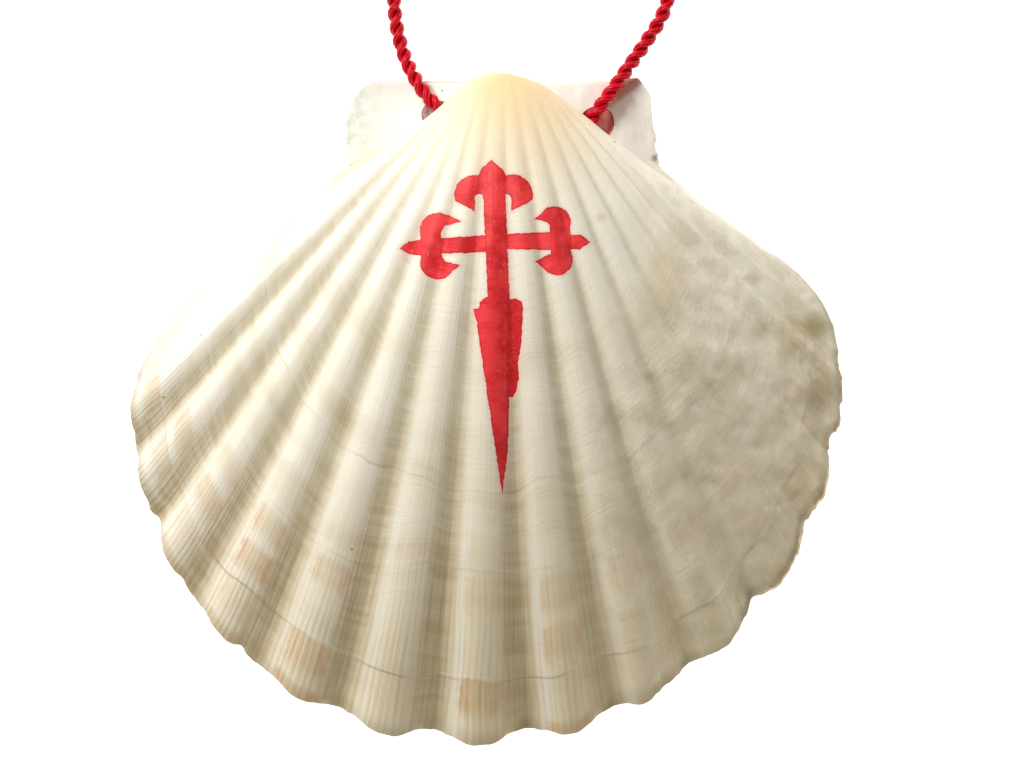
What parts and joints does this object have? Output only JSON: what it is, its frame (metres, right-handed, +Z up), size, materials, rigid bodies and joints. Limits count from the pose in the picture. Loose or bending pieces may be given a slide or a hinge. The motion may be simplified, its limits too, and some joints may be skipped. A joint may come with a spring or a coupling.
{
  "type": "pilgrim scallop shell",
  "caption": "Cupped valve of a king scallop with a painted red sword cross, drilled beside its ears for a twisted red neck cord, lying cupped side up.",
  "frame": {"origin": "on the resting surface, under the middle of the shell's own box, without its cord", "axes": "+Z up, out of the cupped side; +Y towards the beak and the hinge; +X to the right seen from above"},
  "size_m": [0.1267, 0.1813, 0.0295],
  "materials": {
    "shell": "satin, cream white with tan and olive growth bands",
    "cord": "satin rayon, two plies twisted to the right"
  },
  "bodies": {
    "root": {"shell": "shell", "cord_left": "cord", "cord_right": "cord", "cord_coil": "cord", "knot_left": "cord", "knot_right": "cord"}
  },
  "joints": []
}
